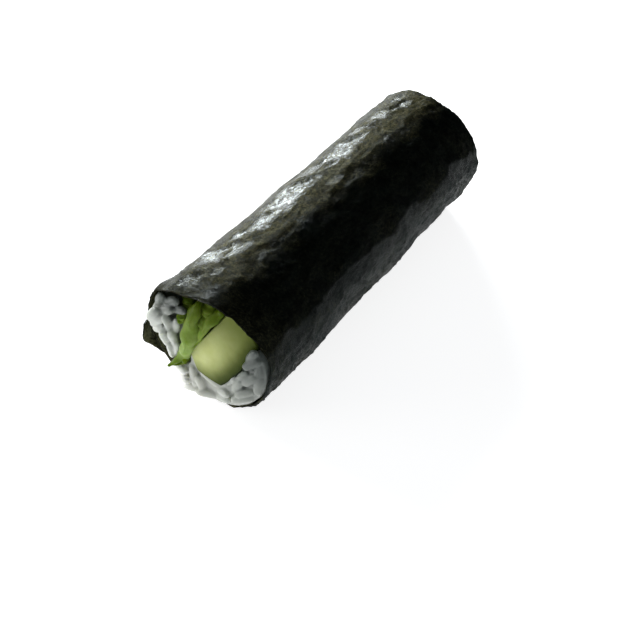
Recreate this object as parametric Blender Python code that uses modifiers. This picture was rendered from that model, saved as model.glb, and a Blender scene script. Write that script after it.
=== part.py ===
"""Hand roll: a seaweed sheet wound round rice, a cucumber stick and a folded lettuce leaf.

Metres, +Z up. The roll lies along X, its front end toward -X, and rests on a flat strip at Z = 0.
Sections are drawn as seen from the front: "across" is to that viewer's right (-Y), "rise" is up
from the roll's axis, and angles are in degrees, anticlockwise from across. They are drawn at the
front radius, and place() shrinks them toward the thinner rear.
"""

import math
import random

import bmesh
import bpy
from mathutils import Vector
from mathutils.geometry import intersect_point_line

mm = 0.001

# The roll as a whole.
roll_length = 105 * mm
front_radius = 19.5 * mm
rear_radius = 18.7 * mm
rest_depth = 0.6 * mm
touch_gap = 0.3 * mm

# Seaweed sheet: the outer free edge lies at seam_angle, and the sheet runs on under itself by lap.
sheet_thickness = 0.45 * mm
sheet_pitch = sheet_thickness + touch_gap + 0.05 * mm
seam_angle = 186
sheet_lap = 130
sheet_turn = 360 + sheet_lap
sheet_columns = 18
sheet_rows = 70

# Cucumber stick: cut corners as (across, rise), with the two skin sides bulging between them.
cucumber_left = (-5.0 * mm, -3.0 * mm)
cucumber_foot = (-2.7 * mm, -7.9 * mm)
cucumber_heel = (4.8 * mm, -9.5 * mm)
cucumber_right = (15.3 * mm, 7.7 * mm)
cucumber_shoulder = (13.6 * mm, 10.3 * mm)
cucumber_crown = (8.3 * mm, 15.0 * mm)
cucumber_top = (6.2 * mm, 14.2 * mm)
cucumber_bulge = 0.8 * mm
cucumber_edge = 0.35 * mm

# Lettuce: the folded leaf's path in section, down the side of the rice to a tongue, up along the
# cucumber, and down and up again in a smaller fold between; and the path of a scrap beside it.
leaf_thickness = 0.8 * mm
leaf_ripple = 0.2 * mm
leaf_path = (
    (-3.0 * mm, 16.0 * mm),
    (-5.8 * mm, 10.5 * mm),
    (-7.6 * mm, 4.0 * mm),
    (-8.4 * mm, -2.0 * mm),
    (-9.2 * mm, -6.2 * mm),
    (-11.7 * mm, -9.6 * mm),
    (-9.8 * mm, -10.6 * mm),
    (-6.9 * mm, -7.8 * mm),
    (-5.7 * mm, -3.0 * mm),
    (-2.6 * mm, 2.3 * mm),
    (0.9 * mm, 8.0 * mm),
    (3.9 * mm, 13.6 * mm),
    (2.6 * mm, 15.0 * mm),
    (-0.3 * mm, 10.8 * mm),
    (-3.3 * mm, 5.2 * mm),
    (-5.2 * mm, 0.6 * mm),
    (-6.6 * mm, 1.0 * mm),
    (-5.6 * mm, 6.4 * mm),
    (-3.4 * mm, 11.4 * mm),
    (-1.0 * mm, 15.6 * mm),
)
scrap_thickness = 0.7 * mm
scrap_length = 14 * mm
scrap_path = (
    (-6.0 * mm, 15.4 * mm),
    (-7.9 * mm, 11.2 * mm),
    (-9.6 * mm, 7.2 * mm),
    (-11.8 * mm, 5.0 * mm),
)

# Rice: whole cooked grains stand out of a core that ends just behind them.
grain_length = 6.3 * mm
grain_width = 2.9 * mm
grain_height = 2.5 * mm
core_setback = 0.05 * mm
pocket_radius = 13.5 * mm
core_sides = 40
core_stations = 15


def bump(angle, centre, half_width):
    """1 at the centre angle, falling as a raised cosine to 0 at half_width degrees from it."""
    apart = abs((angle - centre + 180) % 360 - 180)
    if apart >= half_width:
        return 0.0
    return 0.5 + 0.5 * math.cos(math.pi * apart / half_width)


def fade(distance, reach):
    """1 at no distance, falling smoothly to 0 at reach."""
    share = min(max(distance / reach, 0.0), 1.0)
    return 1 - share * share * (3 - 2 * share)


def outer_radius(x):
    return front_radius + (rear_radius - front_radius) * (x / roll_length + 0.5)


def axis_height(x):
    """Height of the axis, so that the sheet's lowest layer is pressed flat by rest_depth."""
    lowest = outer_radius(x) - sheet_pitch * (270 - seam_angle) / 360
    return lowest - rest_depth


def place(x, across, rise):
    """World point of a section point (across, rise) at x."""
    scale = outer_radius(x) / front_radius
    return Vector((x, -across * scale, axis_height(x) + rise * scale))


def polar(radius, angle):
    turned = math.radians(angle)
    return radius * math.cos(turned), radius * math.sin(turned)


def smooth_path(corners, share):
    """Point at share 0 to 1 along a Catmull-Rom curve through the corners."""
    spans = len(corners) - 1
    span = min(int(share * spans), spans - 1)
    t = share * spans - span
    first, last = Vector(corners[0]), Vector(corners[-1])
    before = Vector(corners[span - 1]) if span else 2 * first - Vector(corners[1])
    after = Vector(corners[span + 2]) if span + 2 <= spans else 2 * last - Vector(corners[-2])
    start, end = Vector(corners[span]), Vector(corners[span + 1])
    bend = 2 * before - 5 * start + 4 * end - after
    twist = 3 * start - before - 3 * end + after
    return start + 0.5 * t * ((end - before) + t * (bend + t * twist))


def arc(start, end, bulge, steps):
    """Points from start up to but not including end, bulging to the right of the way."""
    way = Vector(end) - Vector(start)
    outward = Vector((way.y, -way.x)).normalized()
    points = []
    for step in range(steps):
        share = step / steps
        points.append(Vector(start) + way * share + outward * bulge * 4 * share * (1 - share))
    return points


def outset(outline, distance):
    """An anticlockwise outline grown by distance on every side."""
    grown = []
    for index, corner in enumerate(outline):
        arriving = (corner - outline[index - 1]).normalized()
        leaving = (outline[(index + 1) % len(outline)] - corner).normalized()
        along = (arriving + leaving).normalized()
        outward = Vector((along.y, -along.x))
        grown.append(corner + outward * distance / max(0.5, along.dot(arriving)))
    return grown


def gap_to_outline(point, outline):
    """Distance from a section point to an outline, negative inside it."""
    nearest = 1.0
    inside = False
    for index, end in enumerate(outline):
        start = outline[index - 1]
        foot, share = intersect_point_line(point, start, end)
        foot = start.lerp(end, min(max(share, 0.0), 1.0))
        nearest = min(nearest, (point - foot.to_2d()).length)
        if (start.y > point.y) != (end.y > point.y):
            crossing = start.x + (end.x - start.x) * (point.y - start.y) / (end.y - start.y)
            inside ^= point.x < crossing
    return -nearest if inside else nearest


def material(name, colour, roughness):
    made = bpy.data.materials.new(name)
    made.use_nodes = True
    surface = made.node_tree.nodes["Principled BSDF"]
    surface.inputs["Base Color"].default_value = (*colour, 1.0)
    surface.inputs["Roughness"].default_value = roughness
    surface.inputs["Metallic"].default_value = 0.0
    made.diffuse_color = (*colour, 1.0)
    return made


def new_object(name, shape, finish=None):
    """Object made from a bmesh, which is freed."""
    mesh = bpy.data.meshes.new(name)
    shape.to_mesh(mesh)
    shape.free()
    if finish:
        mesh.materials.append(finish)
    made = bpy.data.objects.new(name, mesh)
    bpy.context.scene.collection.objects.link(made)
    return made


def sheet_object(name, columns, rows, point_at, thickness, offset, finish=None):
    """Solid sheet over a grid: point_at takes the shares along the roll and along the section."""
    shape = bmesh.new()
    bmesh.ops.create_grid(shape, x_segments=columns, y_segments=rows, size=0.5)
    for corner in shape.verts:
        corner.co = point_at(corner.co.x + 0.5, corner.co.y + 0.5)
    bmesh.ops.triangulate(shape, faces=shape.faces)
    made = new_object(name, shape, finish)
    solidify = made.modifiers.new("thickness", "SOLIDIFY")
    solidify.thickness = thickness
    solidify.offset = offset
    solidify.use_even_offset = True
    return made


def loft_object(name, outline_at, shares, finish=None):
    """Solid through closed outlines: outline_at gives world points for a share along the roll."""
    shape = bmesh.new()
    rings = [[shape.verts.new(point) for point in outline_at(share)] for share in shares]
    for ring, following in zip(rings, rings[1:]):
        for index in range(len(ring)):
            shape.faces.new((ring[index - 1], following[index - 1], following[index], ring[index]))
    shape.faces.new(rings[0])
    shape.faces.new(list(reversed(rings[-1])))
    bmesh.ops.recalc_face_normals(shape, faces=shape.faces)
    return new_object(name, shape, finish)


def apply_modifiers(thing):
    seen = thing.evaluated_get(bpy.context.evaluated_depsgraph_get())
    finished = bpy.data.meshes.new_from_object(seen)
    thing.modifiers.clear()
    thing.data = finished


def combine(thing, operation, others):
    """One Boolean of thing with a list of objects, which are removed afterwards."""
    group = bpy.data.collections.new("operands")
    bpy.context.scene.collection.children.link(group)
    for other in others:
        bpy.context.scene.collection.objects.unlink(other)
        group.objects.link(other)
    boolean = thing.modifiers.new(operation.lower(), "BOOLEAN")
    boolean.operation = operation
    boolean.operand_type = "COLLECTION"
    boolean.collection = group
    boolean.solver = "EXACT"
    apply_modifiers(thing)
    for other in others:
        bpy.data.objects.remove(other)
    bpy.data.collections.remove(group)


def keep_largest_piece(thing):
    """Drops loose scraps and fills sealed hollows by keeping only the biggest closed surface."""
    shape = bmesh.new()
    shape.from_mesh(thing.data)
    waiting = set(shape.verts)
    pieces = []
    while waiting:
        front = [waiting.pop()]
        piece = set(front)
        while front:
            for edge in front.pop().link_edges:
                for corner in edge.verts:
                    if corner not in piece:
                        piece.add(corner)
                        front.append(corner)
        waiting -= piece
        pieces.append(piece)
    pieces.sort(key=len)
    for piece in pieces[:-1]:
        bmesh.ops.delete(shape, geom=list(piece), context="VERTS")
    shape.to_mesh(thing.data)
    shape.free()


# The seaweed sheet.


def sheet_swell(x, angle):
    """Soft unevenness of the wound sheet, the same for each layer."""
    turned = math.radians(angle)
    slow = math.sin(math.tau * x / (34 * mm) + 2 * math.sin(turned) + 0.7)
    quick = math.sin(math.tau * x / (21 * mm) - 3 * math.cos(turned) + 0.4)
    return (0.13 * slow + 0.1 * quick) * mm


def front_rim(angle, turn):
    """How far the sheet's front edge stands out past the roll's length."""
    outer = fade(turn - 300, 80)
    bulged = 2.3 * bump(angle, 100, 55) - 1.8 * bump(angle, 16, 36) - 1.9 * bump(angle, 252, 62)
    dog_ear = 2.2 * bump(angle, 196, 15) - 1.1 * bump(angle, 224, 14)
    return (outer * (bulged + dog_ear * fade(turn - 30, 60)) - 0.3 * (1 - outer)) * mm


def rear_rim(angle):
    return (0.5 * math.cos(math.radians(2 * angle + 40)) + 0.3 * math.sin(math.radians(3 * angle))) * mm


def free_edge_flare(x, turn):
    """The free edge lifts off the roll at its front corner."""
    from_front = x + roll_length / 2
    return 1.5 * mm * fade(turn, 36) * fade(from_front, 9 * mm)


def sheet_point(along, wound):
    turn = wound * sheet_turn
    angle = seam_angle + turn
    spread = along - 0.1 * math.sin(math.tau * along)
    start = -roll_length / 2 - front_rim(angle, turn)
    end = roll_length / 2 + rear_rim(angle)
    x = start + (end - start) * spread
    radius = front_radius - sheet_pitch * turn / 360 + sheet_swell(x, angle)
    radius += free_edge_flare(x, turn)
    radius += 0.9 * mm * bump(angle, 138, 24) * fade(x + roll_length / 2, 7 * mm)
    point = place(x, *polar(radius, angle))
    point.z = max(point.z, sheet_pitch if turn > 180 else 0.0)
    return point


def build_nori():
    finish = material("nori", (0.018, 0.024, 0.016), 0.35)
    sheet_object("nori", sheet_columns, sheet_rows, sheet_point, sheet_thickness, -1, finish)


# The fillings.


def filling_front(across, rise):
    """The cucumber's slanted front face: distance that it stands out at a section point."""
    return 0.3 * mm - 0.04 * across - 0.136 * rise


def cucumber_outline():
    outline = [Vector(cucumber_left)]
    outline += arc(cucumber_foot, cucumber_heel, 0.4 * cucumber_bulge, 3)
    outline += arc(cucumber_heel, cucumber_right, cucumber_bulge, 6)
    outline += [Vector(corner) for corner in (cucumber_right, cucumber_shoulder)]
    outline += [Vector(corner) for corner in (cucumber_crown, cucumber_top)]
    return outline


def cucumber_section(outline, share, overrun):
    """The outline at a share of the length, its ends slanted and overrun past them."""
    points = []
    for across, rise in outline:
        start = -roll_length / 2 - filling_front(across, rise) - overrun
        end = roll_length / 2 + 0.4 * mm + 0.05 * rise + overrun
        points.append(place(start + (end - start) * share, across, rise))
    return points


def build_cucumber():
    finish = material("cucumber", (0.42, 0.50, 0.22), 0.3)
    outline = cucumber_outline()
    shares = [step / 6 for step in range(7)]
    stick = loft_object("cucumber", lambda share: cucumber_section(outline, share, 0), shares, finish)
    bevel = stick.modifiers.new("worn_edges", "BEVEL")
    bevel.width = cucumber_edge
    bevel.segments = 1
    bevel.limit_method = "ANGLE"
    bevel.angle_limit = math.radians(35)


def leaf_point(along, down, overrun=0.0):
    """The folded leaf, gently wavy, with a front edge that reaches past the rice."""
    across, rise = smooth_path(leaf_path, down)
    waved = 1.6 + 0.8 * math.sin(31 * down + 0.6) + 1.0 * fade(abs(down - 0.28), 0.08)
    start = -roll_length / 2 - waved * mm - overrun
    end = roll_length / 2 + (0.8 + 0.8 * math.sin(15 * down)) * mm + overrun
    spread = along - 0.08 * math.sin(math.tau * along)
    x = start + (end - start) * spread
    ripple = leaf_ripple * math.sin(x / (5 * mm) + 17 * down)
    return place(x, across + ripple, rise - 0.6 * ripple)


def scrap_point(along, down, overrun=0.0):
    across, rise = smooth_path(scrap_path, down)
    start = -roll_length / 2 - (1.0 + 0.5 * math.sin(7 * down)) * mm - overrun
    x = start + (scrap_length + 2 * overrun) * along
    ruffle = 0.25 * mm * math.sin(5 * down + x / (1.8 * mm))
    return place(x, across + ruffle, rise)


def build_leaves():
    finish = material("lettuce", (0.16, 0.30, 0.03), 0.4)
    sheet_object("lettuce_leaf", 13, 40, leaf_point, leaf_thickness, 0, finish)
    sheet_object("lettuce_scrap", 5, 7, scrap_point, scrap_thickness, 0, finish)


def pocket_outline():
    """Section of the space that the fillings take: inside the leaf's fold and up to the sheet."""
    fold = leaf_path[:11]
    outline = [smooth_path(fold, step / 30) for step in range(31)]
    outline.append(Vector(cucumber_crown) * 0.8)
    outline.append(Vector(cucumber_right) * 0.95)
    outline += [Vector(polar(front_radius * 1.1, angle)) for angle in range(24, 101, 19)]
    return outline


# The rice.


def rice_radius(angle):
    """Radius of the rice in section, just inside the innermost layer of the sheet."""
    turn = (angle - seam_angle) % 360
    step_down = 360 * fade(turn - sheet_lap - 4, 28)
    layers = sheet_pitch * (turn + step_down) / 360
    return front_radius - layers - sheet_thickness - touch_gap - 0.08 * mm


def rice_edge(x, angle):
    """Section point where the rice ends against the sheet, level above the flat underside."""
    across, rise = polar(rice_radius(angle) + sheet_swell(x, angle), angle)
    floor = sheet_pitch + sheet_thickness + touch_gap
    lowest = (floor - axis_height(x)) * front_radius / outer_radius(x)
    return Vector((across, max(rise, lowest)))


def rice_reach(across, rise):
    """How far the rice stands out at a section point, most at the lower left."""
    return -0.03 * (across + rise)


def rice_section(share):
    points = []
    for side in range(core_sides):
        angle = 360 * side / core_sides
        reach = rice_reach(*rice_edge(0, angle)) - core_setback
        x = (roll_length / 2 + reach) * (2 * share - 1)
        points.append(place(x, *rice_edge(x, angle)))
    return points


def grain_spot(draw, x, fillings, overhang):
    """A random centre and half-length for a grain, or None where it would cross its surroundings.

    The grain may hang over the sheet's edge by overhang where that edge is low, and stays out of
    the bare pocket beside the sheet's lifted corner.
    """
    toward = draw.uniform(0, 360)
    centre = Vector(polar(front_radius * math.sqrt(draw.random()), toward))
    heading = toward + 90 + draw.uniform(-60, 60)
    reach = Vector(polar(0.5 * (grain_length - grain_width), heading))
    for point in (centre - reach, centre, centre + reach):
        angle = math.degrees(math.atan2(point.y, point.x))
        limit = rice_edge(x, angle).length - 0.6 * grain_width
        limit += overhang * (bump(angle, 250, 60) + bump(angle, 170, 30))
        in_pocket = point.length > pocket_radius and bump(angle, 206, 17) > 0
        if point.length > limit or in_pocket:
            return None
        if min(gap_to_outline(point, outline) for outline in fillings) < 0.2 * grain_width:
            return None
    return centre, reach


def nearest_grain(spot, laid):
    """Smallest distance between the middles and tips of a grain and those laid before it."""
    centre, reach = spot
    nearest = 1.0
    for other_centre, other_reach in laid:
        for share in (-1, 0, 1):
            for other_share in (-1, 0, 1):
                apart = centre + share * reach - other_centre - other_share * other_reach
                nearest = min(nearest, apart.length)
    return nearest


def make_grain(draw, x, centre, reach, tilt):
    shape = bmesh.new()
    bmesh.ops.create_uvsphere(shape, u_segments=6, v_segments=4, radius=0.5)
    size = draw.uniform(0.9, 1.08)
    along = Vector((tilt, -reach.x, reach.y)).normalized()
    sideways = Vector((1, 0, 0)).cross(along).normalized()
    upward = along.cross(sideways)
    middle = place(x, centre.x, centre.y)
    for corner in shape.verts:
        local = corner.co * size
        offset = along * local.z * grain_length + sideways * local.x * grain_width
        corner.co = middle + offset + upward * local.y * grain_height
    return new_object("grain", shape)


def lay_grains(draw, facing, fillings):
    """Two scattered layers of grains over one end; facing is -1 at the front and 1 at the rear."""
    grains = []
    laid = []
    # How far each layer stands out, its tries and spacing, and how far it hangs over the sheet.
    layers = (
        (0.5 * mm, 6000, 1.9 * mm, 1.3 * mm),
        (0.0 * mm, 6000, 1.45 * mm, 0.6 * mm),
    )
    for depth, tries, spacing, overhang in layers:
        for _ in range(tries):
            spot = grain_spot(draw, facing * roll_length / 2, fillings, overhang if facing < 0 else 0)
            if not spot or nearest_grain(spot, laid) < spacing:
                continue
            laid.append(spot)
            centre, reach = spot
            out = depth + rice_reach(centre.x, centre.y) + draw.uniform(0, 0.4) * mm
            tilt = reach.length * draw.uniform(-0.4, 0.4)
            x = facing * (roll_length / 2 + out)
            grains.append(make_grain(draw, x, centre, reach, tilt))
    return grains


def build_rice():
    finish = material("rice", (0.80, 0.80, 0.74), 0.4)
    shares = [step / (core_stations - 1) for step in range(core_stations)]
    rice = loft_object("rice", rice_section, shares, finish)
    pocket = pocket_outline()
    cucumber = cucumber_outline()
    scrap = [smooth_path(scrap_path, step / 8) for step in range(9)]
    scrap += [point + Vector((0.1 * mm, 0)) for point in reversed(scrap)]
    fillings = (pocket, cucumber, scrap)
    draw = random.Random(11)
    grains = lay_grains(draw, -1, fillings) + lay_grains(draw, 1, fillings)
    combine(rice, "UNION", grains)

    overrun = 6 * mm
    grown = outset(cucumber, touch_gap + 0.05 * mm)
    cutters = [
        loft_object("pocket_cutter", lambda share: cucumber_section(pocket, share, overrun), (0, 0.5, 1)),
        loft_object("cucumber_cutter", lambda share: cucumber_section(grown, share, overrun), (0, 0.5, 1)),
        sheet_object(
            "leaf_cutter",
            13,
            22,
            lambda along, down: leaf_point(along, 0.56 * down - 0.02, overrun),
            leaf_thickness + 2 * touch_gap,
            0,
        ),
        sheet_object(
            "scrap_cutter",
            5,
            9,
            lambda along, down: scrap_point(along, 1.12 * down - 0.06, overrun / 4),
            scrap_thickness + 2 * touch_gap,
            0,
        ),
    ]
    for cutter in cutters:
        apply_modifiers(cutter)
        combine(rice, "DIFFERENCE", [cutter])
    keep_largest_piece(rice)


def centre_on_origin():
    """Moves the meshes so that the middle of the roll's underside is the origin."""
    bpy.context.view_layer.update()
    corners = [
        thing.matrix_world @ Vector(corner) for thing in bpy.data.objects for corner in thing.bound_box
    ]
    middle_x = (max(c.x for c in corners) + min(c.x for c in corners)) / 2
    middle_y = (max(c.y for c in corners) + min(c.y for c in corners)) / 2
    for thing in bpy.data.objects:
        for corner in thing.data.vertices:
            corner.co -= Vector((middle_x, middle_y, 0))


for thing in list(bpy.data.objects):
    bpy.data.objects.remove(thing)

build_nori()
build_cucumber()
build_leaves()
build_rice()
centre_on_origin()
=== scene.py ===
# A hand roll on a pale table: a crinkled seaweed sheet wound round rice, a cucumber stick and lettuce.
import math
import random

import bmesh
import bpy
from mathutils import Euler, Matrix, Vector
from mathutils.geometry import intersect_point_line


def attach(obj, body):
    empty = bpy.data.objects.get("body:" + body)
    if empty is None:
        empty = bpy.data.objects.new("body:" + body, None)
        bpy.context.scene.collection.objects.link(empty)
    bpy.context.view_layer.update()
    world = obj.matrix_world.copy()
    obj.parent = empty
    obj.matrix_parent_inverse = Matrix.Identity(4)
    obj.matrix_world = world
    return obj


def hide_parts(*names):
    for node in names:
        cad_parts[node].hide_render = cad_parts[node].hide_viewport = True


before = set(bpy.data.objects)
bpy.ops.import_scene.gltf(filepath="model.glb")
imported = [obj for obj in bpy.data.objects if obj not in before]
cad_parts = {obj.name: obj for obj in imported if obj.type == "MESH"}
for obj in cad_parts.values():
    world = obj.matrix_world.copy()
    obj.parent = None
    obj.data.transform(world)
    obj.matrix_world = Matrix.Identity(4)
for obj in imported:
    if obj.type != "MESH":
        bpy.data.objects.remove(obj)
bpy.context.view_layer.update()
mm = 0.001
print("frame loaded:", ", ".join(sorted(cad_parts)))


class Wire:
    # One socket of a node tree. Sums on it become Math nodes.
    def __init__(self, bench, socket):
        self.bench = bench
        self.socket = socket

    def maths(self, operation, *others):
        values = dict(enumerate((self, *others)))
        return self.bench.add("ShaderNodeMath", {"operation": operation}, values)

    def __add__(self, other):
        return self.maths("ADD", other)

    def __mul__(self, other):
        return self.maths("MULTIPLY", other)

    def __sub__(self, other):
        return self.maths("SUBTRACT", other)

    def __rsub__(self, other):
        return (self * -1) + other

    def __truediv__(self, other):
        return self.maths("DIVIDE", other)

    __radd__ = __add__
    __rmul__ = __mul__


class Bench:
    # A node tree and the one way that nodes are put in it: settings first, then values or links.
    def __init__(self, tree):
        self.tree = tree

    def feed(self, node, values):
        # wires are linked, and plain values set on the node's own sockets
        for name, value in values.items():
            if isinstance(value, Wire):
                self.tree.links.new(value.socket, node.inputs[name])
            else:
                node.inputs[name].default_value = value

    def add(self, kind, settings=None, sockets=None, output=0):
        node = self.tree.nodes.new(kind)
        for name, value in (settings or {}).items():
            setattr(node, name, value)
        self.feed(node, sockets or {})
        return Wire(self, node.outputs[output] if node.outputs else None)

    def vector(self, x, y, z):
        return self.add("ShaderNodeCombineXYZ", None, {0: x, 1: y, 2: z})

    def split(self, vector):
        parts = self.add("ShaderNodeSeparateXYZ", None, {0: vector}).socket.node
        return [Wire(self, parts.outputs[index]) for index in range(3)]

    def noise(self, place, scale, detail=2.0, roughness=0.5, distortion=0.0):
        return self.add("ShaderNodeTexNoise", None, {
            "Vector": place, "Scale": scale, "Detail": detail, "Roughness": roughness,
            "Distortion": distortion})

    def ridges(self, place, scale, distortion, width):
        # thin wandering lines, 1 along them and 0 between
        level = (self.noise(place, scale, 3, 0.55, distortion) - 0.5).maths("ABSOLUTE")
        return 1 - least(level / width, 1.0)

    def mix(self, share, first, second, blend="MIX"):
        # colours; a plain colour is given as three numbers
        first, second = (c if isinstance(c, Wire) else (*c, 1.0) for c in (first, second))
        settings = {"data_type": "RGBA", "blend_type": blend}
        return self.add("ShaderNodeMix", settings, {0: share, 6: first, 7: second}, 2)

    def shaded(self, colour, shade):
        return self.mix(1.0, colour, shade, "MULTIPLY")

    def raised(self, strength, distance, height):
        sockets = {"Strength": strength, "Distance": distance, "Height": height}
        return self.add("ShaderNodeBump", None, sockets)

    def objectPlace(self):
        return self.add("ShaderNodeTexCoord", None, None, "Object")

    def ramp(self, value, low, high):
        # 0 at low and 1 at high, straight between
        return self.add("ShaderNodeMapRange", None, {"Value": value, "From Min": low, "From Max": high})


def least(first, second):
    return first.maths("MINIMUM", second) if isinstance(first, Wire) else min(first, second)


def most(first, second):
    return first.maths("MAXIMUM", second) if isinstance(first, Wire) else max(first, second)


def cosine(value):
    return value.maths("COSINE") if isinstance(value, Wire) else math.cos(value)


def sine(value):
    return value.maths("SINE") if isinstance(value, Wire) else math.sin(value)


def apart(angle, centre):
    # degrees between two directions, 0 to 180
    if isinstance(angle, Wire):
        return (angle - centre).maths("WRAP", 180, -180).maths("ABSOLUTE")
    return abs((angle - centre + 180) % 360 - 180)


def bump(angle, centre, halfWidth):
    # 1 at the centre angle, falling smoothly to 0 at halfWidth degrees to each side
    return 0.5 + 0.5 * cosine(least(apart(angle, centre) / halfWidth, 1.0) * math.pi)


def fade(distance, reach):
    # 1 at no distance, falling smoothly to 0 at reach
    share = least(most(distance / reach, 0.0), 1.0)
    return 1 - share * share * (3 - 2 * share)


# The roll's own shape, as in the frame. Sections are seen from the front end: across is to that
# viewer's right, rise is up from the axis, and angles are in degrees, anticlockwise from across.
roll = {
    "length": 105 * mm,
    "frontRadius": 19.5 * mm,
    "rearRadius": 18.7 * mm,
    "restDepth": 0.6 * mm,
    "seamAngle": 186,
    "lap": 130,
    "pitch": 0.8 * mm,
    "sheetThickness": 0.45 * mm,
    "gap": 0.3 * mm,
    "shiftX": 0.1 * mm,
    "shiftY": -0.9 * mm,
}
halfLength = roll["length"] / 2


def outerRadius(x):
    taper = (roll["rearRadius"] - roll["frontRadius"]) / roll["length"]
    return roll["frontRadius"] + (x + halfLength) * taper


def axisHeight(x):
    drop = roll["pitch"] * (270 - roll["seamAngle"]) / 360 + roll["restDepth"]
    return outerRadius(x) - drop


def place(x, across, rise):
    # from a place in a section to one in the frame
    scale = outerRadius(x) / roll["frontRadius"]
    return Vector((x + roll["shiftX"], roll["shiftY"] - across * scale, axisHeight(x) + rise * scale))


def polar(radius, angle):
    turned = math.radians(angle)
    return Vector((radius * math.cos(turned), radius * math.sin(turned)))


def smoothPath(corners, share):
    # Catmull-Rom through rows of numbers, share 0 to 1
    spans = len(corners) - 1
    span = min(int(share * spans), spans - 1)
    t = share * spans - span
    rows = [Vector(corners[min(max(span + step, 0), spans)]) for step in (-1, 0, 1, 2)]
    before, start, end, after = rows
    bend = 2 * before - 5 * start + 4 * end - after
    twist = 3 * start - before - 3 * end + after
    return start + 0.5 * t * ((end - before) + t * (bend + t * twist))


def sheetSwell(x, angle):
    # slow unevenness, the same for every layer of the sheet
    turned = angle * (math.pi / 180)
    slow = sine(x * (math.tau / (34 * mm)) + 2 * sine(turned) + 0.7)
    quick = sine(x * (math.tau / (21 * mm)) - 3 * cosine(turned) + 0.4)
    return (0.13 * slow + 0.1 * quick) * mm


# how the sheet's front edge comes and goes: mm out, centre angle and half-width in degrees
rimWaves = ((2.4, 108, 62), (-1.8, 16, 36), (-1.9, 252, 62), (-1.4, 300, 40))
liftedCorner = ((2.2, 196, 15), (-1.1, 224, 14))


def waves(angle, rows):
    return sum(height * bump(angle, centre, halfWidth) for height, centre, halfWidth in rows)


def frontRim(angle, turn):
    # how far the front edge stands out past the roll's length; layers further in stay a little back
    outer = fade(turn - 300, 80)
    bulged = waves(angle, rimWaves) + waves(angle, liftedCorner) * fade(turn - 30, 60)
    return (outer * bulged - 0.3 * (1 - outer)) * mm


def rearRim(angle):
    turned = angle * (math.pi / 180)
    return (0.5 * cosine(2 * turned + 0.7) + 0.3 * sine(3 * turned)) * mm


def newMaterial(name):
    made = bpy.data.materials.new(name)
    made.use_nodes = True
    bench = Bench(made.node_tree)
    surface = made.node_tree.nodes["Principled BSDF"]
    return made, bench, surface


def newMesh(name, shape):
    mesh = bpy.data.meshes.new(name)
    shape.to_mesh(mesh)
    shape.free()
    return mesh


def newObject(name, data, materials=()):
    for material in materials:
        data.materials.append(material)
    made = bpy.data.objects.new(name, data)
    bpy.context.scene.collection.objects.link(made)
    return made


def modify(thing, kind, **settings):
    modifier = thing.modifiers.new(kind.lower(), kind)
    for name, value in settings.items():
        setattr(modifier, name, value)


def applyModifiers(thing):
    seen = thing.evaluated_get(bpy.context.evaluated_depsgraph_get())
    finished = bpy.data.meshes.new_from_object(seen)
    thing.modifiers.clear()
    thing.data = finished
    thing.data.name = thing.name


def smoothShade(thing, angle):
    # smooth, with an edge where faces meet at more than the angle
    thing.data.shade_smooth()
    thing.data.set_sharp_from_angle(angle=math.radians(angle))


def newTree(name, inputs):
    # Geometry Nodes tree with named inputs; returns the tree, its bench, and the inputs as wires
    tree = bpy.data.node_groups.new(name, "GeometryNodeTree")
    tree.is_modifier = True
    tree.interface.new_socket("Geometry", in_out="INPUT", socket_type="NodeSocketGeometry")
    kinds = {int: "NodeSocketInt", float: "NodeSocketFloat"}
    for label, value in inputs.items():
        socket = tree.interface.new_socket(label, in_out="INPUT", socket_type=kinds[type(value)])
        socket.default_value = value
    tree.interface.new_socket("Geometry", in_out="OUTPUT", socket_type="NodeSocketGeometry")
    bench = Bench(tree)
    entry = bench.add("NodeGroupInput").socket.node
    wires = {label: Wire(bench, entry.outputs[label]) for label in ["Geometry", *inputs]}
    return tree, bench, wires


def endTree(bench, geometry, material):
    realised = bench.add("GeometryNodeRealizeInstances", None, {0: geometry})
    painted = bench.add("GeometryNodeSetMaterial", None, {"Geometry": realised, "Material": material})
    bench.add("NodeGroupOutput", None, {0: painted})


def runTree(thing, tree, values):
    # the inputs are set by their sockets' identifiers before the object is first evaluated
    modifier = thing.modifiers.new(tree.name, "NODES")
    modifier.node_group = tree
    for item in tree.interface.items_tree:
        if item.in_out == "INPUT" and item.name in values:
            modifier[item.identifier] = values[item.name]


# Seaweed sheet.
sheet = {
    "Columns": 178,
    "Rows": 268,
    "Outer Share": 0.86,
    "Edge Crowding": 0.06,
    "Facet Height": 0.95 * mm,
    "Dent Height": 0.36 * mm,
    "Crease Height": 0.22 * mm,
    "Wrinkle Height": 0.2 * mm,
    "Rim Raggedness": 0.7 * mm,
    "Ridge Height": 0.45 * mm,
}
# how the sheet is creased and lifted, in mm and degrees
crinkle = {
    "cellLength": 10.5,
    "cellsRound": 14,
    "warpAlong": 2.2,
    "warpRound": 1.8,
    # dents along and round in one cell; cellsRound times the second is a whole number
    "dents": (2.3, 2.5),
    "shoulder": (110, 30),
    "ridgeHalf": 15,
    "ridgeWander": 12,
    # pressed places lean toward the window, by this much at most
    "windowFacing": 108.7,
    "windowDrift": 0.11,
    "mostLean": 6,
    # near the front the free edge, its corner and the upper left stand away from the roll:
    # how far, and over which angles
    "edgeLift": (1.0, 36),
    "cornerLift": (1.5, 208, 20),
    "cornerReach": 90,
    "liftLength": 9 * mm,
    "cheekLift": (1.3, 132, 34),
    "cheekLength": 7 * mm,
}
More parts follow.
